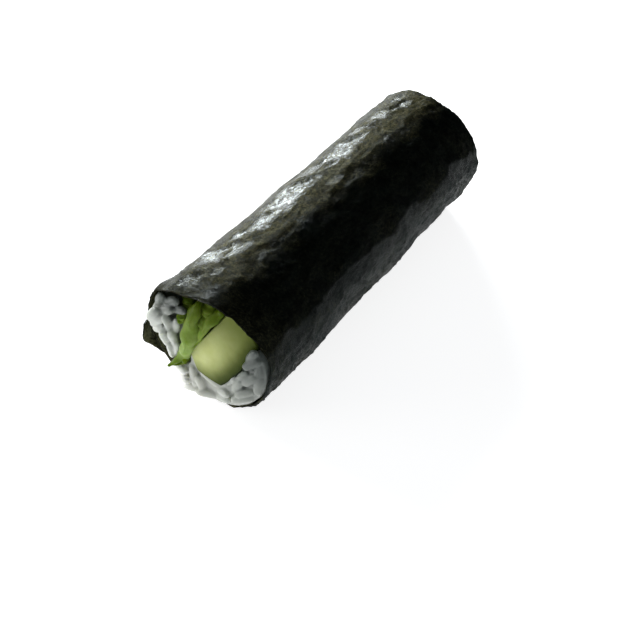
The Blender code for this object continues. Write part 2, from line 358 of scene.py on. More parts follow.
# each finish: the dark colour, and the lighter one that is painted light over the lit top and dry patches,
# each as darker and lighter colour, then the fibres' colour, roughness, grain, and how far in and how
# strongly the front edge is lighter
noriFinishes = {
    "noriOuter": {
        "dark": ((0.0004, 0.0011, 0.0009), (0.0030, 0.0046, 0.0036)),
        "litAndDry": ((0.005, 0.006, 0.0035), (0.040, 0.038, 0.019)),
        "fibre": (0.15, 0.135, 0.06),
        "rough": 0.15,
        "grain": 0.19 * mm,
        "edge": (24, 0.16),
    },
    # the inner face: its strongly lighter front edge is painted light shining through the thin free edge
    "noriInner": {
        "dark": ((0.060, 0.066, 0.038), (0.180, 0.190, 0.105)),
        "litAndDry": ((0.060, 0.066, 0.036), (0.180, 0.180, 0.090)),
        "fibre": (0.10, 0.095, 0.045),
        "rough": 0.55,
        "grain": 0.30 * mm,
        "edge": (5, 0.9),
    },
}
# where the looks change: from and to, or centre and half-width, in degrees, or in mm where named
zones = {
    # painted light over the lit top: where it starts in mm round, where it ends in degrees, and where it is
    # full again in mm from the front edge
    "topStartMm": (82, 90),
    "topEnd": (113, 145),
    "topFrontMm": (5, 22),
    "fewestPatches": (60, 130),
    # painted sheen: the table's reflection over the lower side
    "paintedSheen": (-6, 34),
    "flecks": (109, 21),
    "bandStart": (13, 22),
    "bandEnd": (70, 100),
    "flankEnd": (40, 80),
    "farSide": (114, 128),
    "lipMm": (3, 10),
    "lipStart": (112, 124),
    # how far patches move these borders
    "wanderMm": 16,
    "wander": 30,
}
# colour of the painted sheen, the table's cool grey reflection
paintedSheen = (0.010, 0.016, 0.0155)


# places pressed flat and glossy: along from the middle and angle, then half the length and half
# the width, in mm
pressedPlaces = (
    (-44, 108, 3.4, 2.2),
    (-31, 114, 4.6, 3.2),
    (-26, 99, 3.4, 1.8),
    (-14.5, 105, 4.0, 2.6),
    (-5.5, 110, 5.8, 4.0),
    (4, 116, 3.0, 2.2),
    (13, 109, 5.0, 3.6),
    (3, 87, 1.6, 1.2),
    (32, 111, 3.4, 2.8),
    (41, 100, 2.6, 1.6),
    (-37, 96, 2.0, 1.2),
    (22, 116, 2.4, 1.6),
    (44, 112, 2.4, 1.8),
    (-21, 112, 1.9, 1.4),
    (7, 102, 1.5, 1.0),
    (19, 103, 1.7, 1.0),
    (-9, 97, 1.6, 0.9),
    (36, 104, 1.4, 1.0),
)
degreeArc = roll["frontRadius"] / mm * math.pi / 180


def pressedMask(alongMm, turn, pressed, ragged, soft):
    middle, angle, halfLong, halfWide = pressed
    u = (alongMm - middle - halfLength / mm) / halfLong
    v = (turn - (angle - roll["seamAngle"]) % 360) * (degreeArc / halfWide)
    corner = most((u + 0.55 * v).maths("ABSOLUTE"), (v - 0.2 * u).maths("ABSOLUTE"))
    return fade(corner + ragged - 0.8, soft)


def litAndDryShare(bench, edge, along, around, angle, broad):
    # the lighter colour's share: painted light over the lit top, less of it near the front edge, a lighter
    # front edge, and lighter patches at random, fewest round 60 degrees
    wander = (broad - 0.5) * zones["wander"]
    top = bench.ramp(around + (broad - 0.5) * zones["wanderMm"], *zones["topStartMm"])
    top = top * (1 - 0.8 * bench.ramp(angle + wander, *zones["topEnd"]))
    top = top * (0.4 + 0.6 * bench.ramp(along, *zones["topFrontMm"]))
    reach, strength = edge
    patchy = bench.ramp(broad, 0.42, 0.66) * (0.03 + 0.40 * (1 - bump(angle, *zones["fewestPatches"])))
    return least(most(top, fade(along, reach) * strength) + patchy, 1.0)


def noriColour(bench, finish, spot, angle, litAndDry, grainy, threads):
    # the dark colour, and the lighter one where painted light falls over the top or the sheet is dry
    colour = bench.mix(litAndDry, bench.mix(grainy, *finish["dark"]), bench.mix(grainy, *finish["litAndDry"]))
    # painted reflection: a cool grey sheen of the table over the lower side
    colour = bench.mix(bump(angle, *zones["paintedSheen"]) * 0.7, colour, paintedSheen)
    colour = bench.mix(threads, colour, finish["fibre"])
    clouds = bench.ramp(bench.noise(spot, 0.28, 3, 0.6), 0.38, 0.6)
    return bench.shaded(colour, bench.mix(clouds, (0.45, 0.45, 0.45), (1.2, 1.2, 1.2)))


def noriMatt(bench, along, angle, broad, gloss):
    # 1 where the surface has no gloss at all: less so on the far side, and most in the dark band
    wander = (broad - 0.5) * zones["wander"]
    band = bench.ramp(angle + wander, *zones["bandStart"]) * (1 - bench.ramp(angle, *zones["bandEnd"]))
    matt = (1 - gloss) * (0.9 - 0.3 * bench.ramp(angle, *zones["farSide"]))
    matt = most(matt, band * 0.94)
    matt = most(matt, 0.6 * (1 - bench.ramp(angle, *zones["flankEnd"])))
    lip = (1 - bench.ramp(along, *zones["lipMm"])) * bench.ramp(angle, *zones["lipStart"])
    return most(matt, 0.85 * lip)


def noriMaterial(name, finish):
    # the outer face is glossy, and the inner one duller and paler, its colours raised further as painted
    # light for the shade it lies in
    made, bench, surface = newMaterial(name)
    spot = bench.add("ShaderNodeAttribute", {"attribute_name": "sheetPlace"}, output="Vector")
    along, around, _ = bench.split(spot)
    angle = around / degreeArc - (360 - roll["seamAngle"])
    broad = bench.noise(spot, 0.10, 3)
    mottle = bench.noise(spot, 1.1, 5, 0.66, 0.6)
    speck = bench.noise(spot, 2.4, 3, 0.6)
    fibre = bench.ridges(bench.vector(along, around * 1.6, 0.0), 0.45, 2.2, 0.035)
    curl = bench.ridges(spot, 0.7, 3.2, 0.045)
    cracks = bench.ridges(bench.vector(along * 0.8, around + along * 0.5, 0.0), 0.35, 2.0, 0.045)

    smooth = 0.0
    ragged = (bench.noise(spot, 0.3, 2) - 0.5) * 1.1 + (mottle - 0.5) * 1.1 + (speck - 0.5)
    for pressed in pressedPlaces:
        smooth = most(pressedMask(along, around / degreeArc, pressed, ragged, 0.5), smooth)
    flecks = bench.ramp(bench.noise(spot, 1.3, 4, 0.7), 0.54, 0.6)
    flecks = flecks * bump(angle, *zones["flecks"]) * (1 - fade(along, 6))

    litAndDry = litAndDryShare(bench, finish["edge"], along, around, angle, broad)
    grainy = bench.ramp(mottle * 0.8 + speck * 0.2, 0.32, 0.66)
    # fibres show most where the painted light falls and the sheet is dry
    threads = most(fibre, curl * 0.9) * (litAndDry * 0.75 + 0.04) * bench.ramp(mottle, 0.38, 0.58)
    colour = noriColour(bench, finish, spot, angle, litAndDry, grainy, threads)
    gloss = most(most(smooth, flecks * 0.75), 1 - bench.ramp(litAndDry, 0.1, 0.5))
    rough = finish["rough"] + 0.12 * bench.ramp(mottle, 0.42, 0.62) * (1 - smooth)
    height = (0.7 * mottle + 0.5 * speck) * (1 - 0.75 * smooth) + 0.12 * fibre + 0.12 * curl
    raised = bench.raised(1.0, finish["grain"], height - cracks * smooth * 0.7)
    bench.feed(surface, {
        "Base Color": colour, "Roughness": rough, "Normal": raised,
        "IOR": 1.3, "Specular Tint": (0.8, 1.0, 0.96, 1.0)})
    # where it is matt a plain diffuse surface takes the glossy one's place
    plain = bench.add("ShaderNodeBsdfDiffuse", None, {"Color": colour, "Normal": raised})
    both = bench.add("ShaderNodeMixShader", None, {
        0: noriMatt(bench, along, angle, broad, gloss), 1: Wire(bench, surface.outputs[0]), 2: plain})
    bench.tree.links.new(both.socket, made.node_tree.nodes["Material Output"].inputs["Surface"])
    return made


def facetHeights(bench, u, v, cellsRound):
    # flat triangles between random heights at the corners of a grid that closes on itself
    cellU, cellV = u.maths("FLOOR"), v.maths("FLOOR")
    shareU, shareV = u - cellU, v - cellV
    near, right, up, far = (
        bench.add("ShaderNodeTexWhiteNoise", {"noise_dimensions": "2D"}, {
            "Vector": bench.vector(cellU + stepU, (cellV + stepV).maths("FLOORED_MODULO", cellsRound), 0.0)})
        for stepU, stepV in ((0, 0), (1, 0), (0, 1), (1, 1)))
    lower = near + shareU * (right - near) + shareV * (up - near)
    upper = far + (1 - shareU) * (up - far) + (1 - shareV) * (right - far)
    beyond = (shareU + shareV).maths("GREATER_THAN", 1.0)
    return lower + (upper - lower) * beyond - 0.5, shareV


def pressFlat(relief, alongMm, turn, angle, ragged):
    # each pressed place cuts a chord off the round; returns the relief and the share that is flat
    flatShare = 0.0
    for pressed in pressedPlaces:
        middle, angleAt, _, halfWide = pressed
        window = crinkle["windowFacing"] + crinkle["windowDrift"] * middle
        facing = least(angleAt + crinkle["mostLean"], most(angleAt - crinkle["mostLean"], window))
        away = cosine(apart(angle, facing) * (math.pi / 180))
        edge = math.radians(halfWide / degreeArc)
        depth = math.cos(math.radians(angleAt - facing)) + math.cos(edge) - 1
        chord = away.maths("POWER", -1.0) * (roll["frontRadius"] * depth) - roll["frontRadius"]
        share = pressedMask(alongMm, turn, pressed, ragged, 0.4)
        flatShare = most(share, flatShare)
        relief = relief + share * (chord - relief)
    return relief, flatShare


def creasedRelief(bench, wires, onRoll, alongMm, turn, angle):
    # flat facets that meet in creases, smaller dents, thin creases and fine wrinkles
    warps = [
        (bench.noise(bench.add("ShaderNodeVectorMath", None, {0: onRoll, 1: shift}), 0.09, 1) - 0.5) * reach
        for shift, reach in (((0, 0, 0), crinkle["warpAlong"]), ((400, 0, 0), crinkle["warpRound"]))]
    cellAlong = alongMm / crinkle["cellLength"] + warps[0]
    cellRound = turn * (crinkle["cellsRound"] / 360) + warps[1]
    facets, shareRound = facetHeights(bench, cellAlong, cellRound, crinkle["cellsRound"])
    flattened = (0.17 - shareRound * (1 - shareRound)) * 1.2 * mm
    dentsAlong, dentsRound = crinkle["dents"]
    dentCells = crinkle["cellsRound"] * dentsRound
    dents, _ = facetHeights(bench, cellAlong * dentsAlong, cellRound * dentsRound, dentCells)
    relief = facets * wires["Facet Height"] + flattened + dents * wires["Dent Height"]
    creaseNoise = (bench.noise(onRoll, 0.16, 1, 0.5, 1.2) - 0.5).maths("ABSOLUTE")
    creases = fade(creaseNoise, 0.05) * wires["Crease Height"]
    wrinkles = (bench.noise(onRoll, 0.55, 3, 0.6, 0.8) - 0.5) * wires["Wrinkle Height"]

    # a ridge along the flank, broken by the places that are pressed flat toward the window
    ridgeAngle = crinkle["shoulder"][0] + (bench.noise(onRoll, 0.05, 1) - 0.5) * crinkle["ridgeWander"]
    ridge = most(1 - apart(angle, ridgeAngle) / crinkle["ridgeHalf"], 0.0)
    relief = relief * (1 - 0.55 * bump(angle, *crinkle["shoulder"])) + ridge * wires["Ridge Height"]
    firstTurn = turn.maths("FLOORED_MODULO", 360)
    ragged = bench.noise(bench.vector(alongMm, firstTurn * degreeArc, 0.0), 0.3, 2) - 0.5
    relief, flatShare = pressFlat(relief, alongMm, firstTurn, angle, ragged)
    return relief + (creases + wrinkles) * (1 - 0.65 * flatShare)


def frontLift(fromFront, turn, angle):
    # how far the sheet stands off the roll near the front
    freeEdge, edgeTurn = crinkle["edgeLift"]
    corner, *cornerAngles = crinkle["cornerLift"]
    cheek, *cheekAngles = crinkle["cheekLift"]
    lift = freeEdge * fade(turn, edgeTurn)
    lift = lift + corner * bump(angle, *cornerAngles) * fade(turn, crinkle["cornerReach"])
    lift = lift * fade(fromFront, crinkle["liftLength"])
    return (lift + cheek * bump(angle, *cheekAngles) * fade(fromFront, crinkle["cheekLength"])) * mm


def noriTree(material):
    tree, bench, wires = newTree("windSheet", sheet)
    shares = bench.add("GeometryNodeMeshGrid", None, {
        "Size X": 1.0, "Size Y": 1.0, "Vertices X": wires["Columns"], "Vertices Y": wires["Rows"]})
    along, wound, _ = [part + 0.5 for part in bench.split(bench.add("GeometryNodeInputPosition"))]
    outerShare = wires["Outer Share"]
    turn = least(wound / outerShare, 1.0) * 360
    turn = turn + most(wound - outerShare, 0.0) / (1 - outerShare) * roll["lap"]
    angle = turn + roll["seamAngle"]
    turned = angle * (math.pi / 180)

    # places on the sheet in millimetres: on the roll, the same for each layer, and laid out flat
    radiusMm = roll["frontRadius"] / mm
    alongMm = along * (roll["length"] / mm)
    onRoll = bench.vector(alongMm, radiusMm * cosine(turned), radiusMm * sine(turned))
    laidFlat = bench.vector(alongMm, turn * degreeArc, 0.0)

    ragged = (bench.noise(onRoll, 0.55, 2, 0.6) - 0.5) * wires["Rim Raggedness"]
    start = -halfLength - frontRim(angle, turn) + ragged
    end = halfLength + rearRim(angle) + ragged
    spread = along - wires["Edge Crowding"] * sine(along * math.tau)
    x = start + (end - start) * spread

    radius = roll["frontRadius"] - turn * (roll["pitch"] / 360) + sheetSwell(x, angle)
    radius = radius + creasedRelief(bench, wires, onRoll, alongMm, turn, angle)
    radius = radius + frontLift(x + halfLength, turn, angle)
    scale = outerRadius(x) / roll["frontRadius"]
    y = roll["shiftY"] - radius * cosine(turned) * scale
    z = axisHeight(x) + radius * sine(turned) * scale
    # the outer layer rests on the table, and the one inside it a layer higher
    lowest = turn.maths("GREATER_THAN", 180.0) * roll["pitch"]
    named = bench.add("GeometryNodeStoreNamedAttribute", {"data_type": "FLOAT_VECTOR", "domain": "POINT"}, {
        "Geometry": shares, "Name": "sheetPlace", "Value": laidFlat})
    shaped = bench.add("GeometryNodeSetPosition", None, {
        "Geometry": named, "Position": bench.vector(x + roll["shiftX"], y, most(z, lowest))})
    endTree(bench, shaped, material)
    return tree


def buildNori():
    outer, inner = (noriMaterial(name, finish) for name, finish in noriFinishes.items())
    nori = newObject("seaweedSheet", bpy.data.meshes.new("seaweedSheet"))
    runTree(nori, noriTree(outer), sheet)
    applyModifiers(nori)
    nori.data.materials.clear()
    for material in (outer, inner):
        nori.data.materials.append(material)
    modify(
        nori, "SOLIDIFY", thickness=roll["sheetThickness"], offset=-1, use_even_offset=False,
        material_offset=1, material_offset_rim=0)
    applyModifiers(nori)
    smoothShade(nori, 60)
    return nori


nori = buildNori()
print("seaweed sheet:", len(nori.data.polygons), "faces")


# Cucumber stick.
cucumber = {
    # corners of the section, across and rise
    "left": (-5.0 * mm, -3.0 * mm),
    "foot": (-2.7 * mm, -7.9 * mm),
    "heel": (4.8 * mm, -9.5 * mm),
    "right": (15.3 * mm, 7.7 * mm),
    "shoulder": (13.6 * mm, 10.3 * mm),
    "crown": (8.3 * mm, 15.0 * mm),
    "top": (6.2 * mm, 14.2 * mm),
    "footBow": 0.32 * mm,
    "skinBow": 0.8 * mm,
    "edge": 0.45 * mm,
    # how far the cut ends stand out, and their slant across and up
    "front": (0.3 * mm, -0.04, -0.136),
    "rear": (0.4 * mm, 0.0, 0.05),
    "axisRise": 18.5 * mm,
}
# from corner to corner: how far each side bows out, and its steps
cucumberSides = (
    ("left", "foot", 0.0, 3),
    ("foot", "heel", cucumber["footBow"], 8),
    ("heel", "right", cucumber["skinBow"], 14),
    ("right", "shoulder", 0.2 * mm, 3),
    ("shoulder", "crown", 0.3 * mm, 5),
    ("crown", "top", 0.1 * mm, 2),
    ("top", "left", 0.0, 12),
)


def arc(start, end, bulge, steps):
    # from start up to but not including end, bowed out to the right of the way there
    way = Vector(end) - Vector(start)
    outward = Vector((way.y, -way.x)).normalized()
    return [
        Vector(start) + way * (step / steps) + outward * bulge * 4 * (step / steps) * (1 - step / steps)
        for step in range(steps)
    ]


def cucumberOutline():
    points = []
    for start, end, bow, steps in cucumberSides:
        points += arc(cucumber[start], cucumber[end], bow, steps)
    return points


def loftObject(name, outlineAt, shares, materials=()):
    # a closed solid through a ring of points at each share
    shape = bmesh.new()
    rings = [[shape.verts.new(point) for point in outlineAt(share)] for share in shares]
    for ring, following in zip(rings, rings[1:]):
        for index in range(len(ring)):
            shape.faces.new((ring[index - 1], following[index - 1], following[index], ring[index]))
    shape.faces.new(rings[0])
    shape.faces.new(list(reversed(rings[-1])))
    bmesh.ops.recalc_face_normals(shape, faces=shape.faces)
    return newObject(name, newMesh(name, shape), materials)


def cucumberSection(outline, share, overrun=0.0):
    points = []
    for across, rise in outline:
        front, rear = (
            out + slantAcross * across + slantUp * rise + overrun
            for out, slantAcross, slantUp in (cucumber["front"], cucumber["rear"]))
        start = -halfLength - front
        points.append(place(start + (halfLength + rear - start) * share, across, rise))
    return points


def skinGap(start, end, bow, across, rise):
    # how far a place is inside the bowed skin from start to end
    way = (end - start).normalized()
    outward = Vector((way.y, -way.x))
    share = (across * way.x + rise * way.y - start.dot(way)) * (1 / (end - start).length)
    skin = start.dot(outward) + share * (1 - share) * 4 * bow
    return skin - (across * outward.x + rise * outward.y)


def cucumberMaterial():
    made, bench, surface = newMaterial("cucumber")
    spot = bench.objectPlace()
    _, y, z = bench.split(spot)
    across = (y - roll["shiftY"]) * (-1 / mm)
    rise = (z - cucumber["axisRise"]) / mm
    heel, right, foot = (Vector(cucumber[name]) / mm for name in ("heel", "right", "foot"))
    wobble = (bench.noise(spot, 450, 2) - 0.5) * 0.8
    rightGap = skinGap(heel, right, cucumber["skinBow"] / mm, across, rise) + wobble
    leftGap = skinGap(foot, heel, cucumber["footBow"] / mm, across, rise) + wobble * 0.5
    flesh = bench.noise(spot, 260, 3, 0.55)
    pale = bench.mix(bench.ramp(flesh, 0.3, 0.7), (0.54, 0.58, 0.23), (0.63, 0.67, 0.31))
    green = bench.mix(flesh, (0.085, 0.11, 0.012), (0.12, 0.15, 0.022))
    deep = (0.035, 0.052, 0.006)
    skin = (0.008, 0.018, 0.002)
    # pale in the middle, green toward the skin, and darkest at the skin itself; the green toward the top is
    # painted shade under the sheet's rim, and the wide green on the right is partly the flesh's own and
    # partly painted shade from the rim
    # painted shade under the sheet's rim, toward the top
    upper = fade(13.0 - rise, 16.0)
    core = (1 - fade(rightGap, 9.5)) * (1 - fade(leftGap, 5.0) * 0.7) * (1 - upper * 0.9)
    # the deeper green near the skin, widened on the right as painted shade
    skinGreenAndShade = 1 - (1 - fade(rightGap, 5.0) * 0.9) * (1 - fade(leftGap, 1.6) * 0.5)
    colour = bench.mix(1 - core, pale, green)
    colour = bench.mix(skinGreenAndShade, colour, deep)
    colour = bench.mix(most(fade(rightGap, 1.0), fade(leftGap, 0.8)), colour, skin)
    bench.feed(surface, {
        "Base Color": colour, "Roughness": 0.3, "IOR": 1.12,
        "Normal": bench.raised(0.25, 0.1 * mm, bench.noise(spot, 900, 3, 0.6)),
        "Subsurface Weight": 0.5, "Subsurface Radius": (1.0, 1.2, 0.4), "Subsurface Scale": 0.8 * mm})
    return made


def buildCucumber():
    outline = cucumberOutline()
    shares = [0, 0.004, 0.012, *[0.05 + 0.9 * step / 24 for step in range(25)], 0.988, 0.996, 1]
    stick = loftObject(
        "cucumberStick", lambda share: cucumberSection(outline, share), shares, [cucumberMaterial()])
    sharp = math.radians(32)
    modify(stick, "BEVEL", width=cucumber["edge"], segments=3, limit_method="ANGLE", angle_limit=sharp)
    applyModifiers(stick)
    smoothShade(stick, 40)
    return stick


stick = buildCucumber()
print("cucumber stick:", len(stick.data.polygons), "faces")


# Lettuce, in mm. Each row of a path is across, rise, half-thickness and how far it stands out.
leaf = {
    "ripple": 0.2,
    # half the thickness inside the roll, and how far from an end it gets there
    "thin": 0.38,
    "plumpLength": 6,
    "scrapLength": 14,
    "path": (
        (-0.5, 16.9, 0.8, 0.6),
        (-2.0, 12.4, 2.1, 1.6),
        (-3.6, 7.0, 2.7, 2.2),
        (-4.5, 2.4, 2.8, 2.4),
        (-5.7, -1.8, 2.3, 2.5),
        (-7.4, -5.2, 1.6, 2.7),
        (-9.6, -8.2, 0.7, 3.0),
        (-11.0, -9.9, 0.3, 2.9),
        (-8.9, -9.3, 0.5, 2.4),
        (-6.6, -7.3, 0.7, 1.9),
        (-6.0, -4.4, 0.5, 1.4),
        (-4.3, -0.2, 0.9, 1.0),
        (-1.3, 4.9, 1.3, 0.6),
        (1.6, 9.6, 1.5, 0.1),
        (4.0, 13.6, 1.5, -0.5),
        (4.6, 15.6, 0.8, -0.9),
    ),
    # the rice leaves room for the leaf down to this row of the path
    "bottomEnd": 10,
    "inner": (
        (1.4, 16.6, 1.9, -0.8),
        (0.5, 12.4, 2.0, -0.3),
        (-1.5, 7.0, 1.6, 0.2),
        (-2.9, 3.4, 1.2, 0.5),
        (-4.4, 0.0, 0.7, 0.5),
    ),
    "scrap": (
        (-5.6, 14.8, 0.8, -1.8),
        (-6.0, 12.4, 1.7, -0.9),
        (-6.1, 9.8, 1.3, 0.9),
        (-6.8, 7.4, 1.1, 1.4),
        (-7.9, 5.4, 0.4, 1.0),
    ),
}


def leafMaterial():
    made, bench, surface = newMaterial("lettuce")
    spot = bench.objectPlace()
    shares = bench.add("ShaderNodeAttribute", {"attribute_name": "leafPlace"}, output="Vector")
    _, depth, thick = bench.split(shares)
    heightMm = bench.split(spot)[2] / mm
    patch = bench.noise(spot, 320, 3, 0.55)
    light = bench.mix(bench.ramp(patch, 0.35, 0.65), (0.125, 0.19, 0.006), (0.19, 0.27, 0.020))
    deep = (0.06, 0.105, 0.0)
    # painted shade: darker green further in from the leaf's front edge, down in the gaps between its folds
    colour = bench.mix(bench.ramp(depth, 0.5, 4.0), light, deep)
    rib = bench.mix(bench.ramp(patch, 0.3, 0.7), (0.17, 0.26, 0.050), (0.30, 0.40, 0.14))
    # painted shade under the sheet's rim and painted light below it, where the thick ribs show lighter too;
    # darker again at the foot
    lower = bench.ramp(heightMm, 35, 17)
    colour = bench.mix(bench.ramp(thick, 0.7, 1.5) * lower * 0.8, colour, rib)
    colour = bench.shaded(colour, bench.mix(lower, (0.28, 0.30, 0.2), (1.3, 1.3, 1.4)))
    colour = bench.mix(bench.ramp(heightMm, 16, 12), colour, bench.shaded(colour, (0.45, 0.5, 0.25)))
    relief = patch * 0.8 + bench.noise(spot, 1500, 2) * 0.2
    bench.feed(surface, {
        "Base Color": colour, "Roughness": 0.28, "Normal": bench.raised(0.35, 0.25 * mm, relief),
        "IOR": 1.1, "Specular Tint": (0.75, 0.95, 0.3, 1.0),
        "Subsurface Weight": 0.4, "Subsurface Radius": (0.5, 1.0, 0.15), "Subsurface Scale": 1.0 * mm})
    return made


def leafCentre(path, down, along, length):
    # the middle of the leaf, at shares down its path and along the roll, and half its thickness
    across, rise, thickness, reach = smoothPath(path, down)
    wave = math.sin(down * 31 + 0.6) * 0.35 + math.sin(down * 73) * 0.2
    start = -halfLength / mm - reach - wave
    end = start + length if length else halfLength / mm + 0.8 + 0.8 * math.sin(15 * down)
    x = start + (end - start) * along
    ripple = leaf["ripple"]
    swing = ripple * math.sin(x / 5 + 17 * down) + 0.5 * ripple * math.sin(x / 1.9 + 23 * down)
    return x, Vector((across + swing, rise - 0.6 * swing)), thickness


def leafCorner(path, down, share, length, side):
    # a place on one skin, and what the material needs there: down, how deep in, and thickness
    wholeRoll = length is None
    toMiddle = min(share, 1 - share) * 2
    along = abs((share > 0.5) - 0.5 * toMiddle ** 2.2) if wholeRoll else share ** 1.5
    x, middle, thickness = leafCentre(path, down, along, length)
    ahead = leafCentre(path, min(down + 0.004, 1.0), along, length)[1]
    behind = leafCentre(path, max(down - 0.004, 0.0), along, length)[1]
    way = (ahead - behind).normalized()
    depth = x - leafCentre(path, down, 0.0, length)[0]
    if wholeRoll:
        depth = min(depth, leafCentre(path, down, 1.0, length)[0] - x)
    half = leaf["thin"] + (thickness - leaf["thin"]) * fade(depth, leaf["plumpLength"])
    rounded = math.sqrt(max(0.02, 1 - max(0.0, 1 - depth / max(thickness, 0.3)) ** 2))
    edge = min(1.0, 0.25 + 10 * min(down, 1 - down))
    uneven = 1 + 0.14 * math.sin(down * 44 + 0.15 * depth) + 0.08 * math.sin(down * 101 + 0.3 * depth)
    point = middle + Vector((way.y, -way.x)) * (half * rounded * edge * uneven * side)
    return place(x * mm, point.x * mm, point.y * mm), (down, depth, thickness)


def border(skin):
    # the corners round a skin's edge, in order
    left, right = ([line[end] for line in skin] for end in (0, -1))
    return skin[0][:-1] + right[:-1] + skin[-1][:0:-1] + left[:0:-1]


def buildLeaf(name, path, material, columns, rows, length=None):
    # a solid of varying thickness: two skins over one grid, stitched round the edge; without a
    # length it goes the whole way along the roll
    shape = bmesh.new()
    layer = shape.verts.layers.float_vector.new("leafPlace")
    skins = []
    for side in (1, -1):
        skin = []
        for row in range(rows + 1):
            skin.append([])
            for column in range(columns + 1):
                spot, about = leafCorner(path, row / rows, column / columns, length, side)
                corner = shape.verts.new(spot)
                corner[layer] = about
                skin[-1].append(corner)
        for line, below in zip(skin, skin[1:]):
            for column in range(columns):
                quad = [line[column], below[column], below[column + 1], line[column + 1]]
                shape.faces.new(quad[::side])
        skins.append(skin)
    first, second = (border(skin) for skin in skins)
    for index in range(len(first)):
        shape.faces.new((first[index - 1], first[index], second[index], second[index - 1]))
    bmesh.ops.recalc_face_normals(shape, faces=shape.faces)
    made = newObject(name, newMesh(name, shape), [material])
    smoothShade(made, 70)
    return made


lettuce = leafMaterial()
leafPiece = buildLeaf("lettuceLeaf", leaf["path"], lettuce, columns=64, rows=150)
innerFold = buildLeaf("lettuceFold", leaf["inner"], lettuce, columns=56, rows=50)
scrapPiece = buildLeaf("lettuceScrap", leaf["scrap"], lettuce, 26, 40, leaf["scrapLength"])
print("lettuce:", sum(len(p.data.polygons) for p in (leafPiece, innerFold, scrapPiece)), "faces")


# Rice: a core, and grains laid over both ends.
grain = {
    "Length": 7.2 * mm,
    "Width": 2.65 * mm,
    "Height": 2.2 * mm,
    "Seed": 5,
}
rice = {
    "tries": 4000,
    # how far out each layer of grains stands and how far apart they are, in mm
    "layers": ((0.1, 2.2), (-0.2, 1.75), (-0.5, 1.4)),
    "endDepth": 7 * mm,
    "endSlant": -0.03,
    # how far the core stands back under the grains, in mm: at the front most at one angle
    "frontBack": -0.1,
    "frontDip": (5.0, 112, 32),
    "rearBack": 0.5,
    # where it stands back from the sheet too: mm in, centre angle and half-width
    "hollows": ((4.0, 203, 14), (2.4, 126, 14), (1.0, 33, 5)),
    "hollowEdge": 12,
    "hollowLength": 9 * mm,
    "clearance": 0.25 * mm,
    # where the inner layer ends, the rice fills out again between these turns past the lap
    "fillOut": (4, 28),
    "sides": 72,
    "fineness": 0.27 * mm,
    "fewestCorners": 500,
    "axisRise": 18.7,
}
# the grains seen at the front: across, rise, heading, lean and how far out, in mm and degrees
frontGrains = (
    (-13.5, 10.6, 58, -14, 0.1),
    (-9.9, 11.4, 38, -12, 0.1),
    (-7.8, 9.6, 30, -14, 0.0),
    (-15.1, 5.6, 55, -5, 1.6),
    (-13.8, 3.8, 48, 5, 1.2),
    (-11.2, 8.0, 43, -14, 0.6),
    (-14.2, 0.4, 38, -14, 0.7),
    (-10.9, 4.2, 94, -15, 1.0),
    (-12.0, -1.3, 90, -20, 1.3),
    (-9.8, -0.6, 90, -18, 0.8),
    (-8.8, 4.0, 70, -14, 0.3),
    (-11.2, -5.6, 86, -12, 0.6),
    (-9.4, -4.6, 76, -12, 0.3),
    (-8.4, -11.2, 30, -20, 0.8),
    (-7.9, -14.0, 30, -22, 0.8),
    (-4.4, -11.6, 96, 0, 0.5),
    (-2.2, -13.4, 100, -10, 0.5),
    (-0.4, -16.0, 6, 15, 0.5),
    (-5.0, -16.9, 8, 12, 0.3),
    (4.8, -12.4, 34, -22, 0.4),
    (4.6, -15.8, 30, -12, 0.2),
    (15.8, 3.8, 42, 8, 0.6),
    (13.9, -2.2, 53, 2, 0.8),
    (9.9, -6.6, 62, 0, 0.7),
    (12.0, -8.2, 32, 16, 0.7),
    (11.8, -11.4, 26, 18, 0.3),
    (16.9, -3.4, 78, 6, 0.2),
    (17.4, 1.0, 84, 5, 0.0),
    (16.6, 6.6, 62, -5, 0.1),
    (11.4, -3.0, 56, -5, 0.3),
    (13.4, -1.4, 60, 0, -0.4),
    (7.8, -10.4, 30, 0, -0.4),
)


def riceRadius(angle):
    turn = (angle - roll["seamAngle"]) % 360
    after, reach = rice["fillOut"]
    stepDown = 360 * fade(turn - roll["lap"] - after, reach)
    layers = roll["pitch"] * (turn + stepDown) / 360
    return roll["frontRadius"] - layers - roll["sheetThickness"] - roll["gap"] - rice["clearance"]


def riceEdge(x, angle):
    across, rise = polar(riceRadius(angle) + sheetSwell(x, angle), angle)
    floorRise = roll["pitch"] + roll["sheetThickness"] + roll["gap"]
    lowest = (floorRise - axisHeight(x)) * roll["frontRadius"] / outerRadius(x)
    return Vector((across, max(rise, lowest)))


def riceReach(across, rise):
    # how far out the slanted end is at a place on it
    return rice["endSlant"] * (across + rise)


def pocketOutline():
    # round the leaf's outer side, past the cucumber's corner and out through the sheet
    points = []
    steps = 48
    reach = leaf["bottomEnd"] / (len(leaf["path"]) - 1)
    for step in range(steps + 1):
        share = reach * step / steps
        spot, ahead = smoothPath(leaf["path"], share), smoothPath(leaf["path"], share + 0.003)
        way = (ahead - spot).xy.normalized()
        points.append((spot.xy + Vector((way.y, -way.x)) * (spot.z + 0.3)) * mm)
    points.append(Vector(cucumber["left"]) * 0.9)
    points.append(Vector(cucumber["crown"]) * 0.9)
    points += [polar(roll["frontRadius"] * 1.1, angle) for angle in range(24, 101, 19)]
    return points


def frontHollow(angle):
    # where the rice stands back from the sheet at the front: beside the free edge and under the rim
    depths = (
        depth * fade(max(apart(angle, centre) - halfWidth, 0.0), rice["hollowEdge"])
        for depth, centre, halfWidth in rice["hollows"])
    return sum(depths) * mm


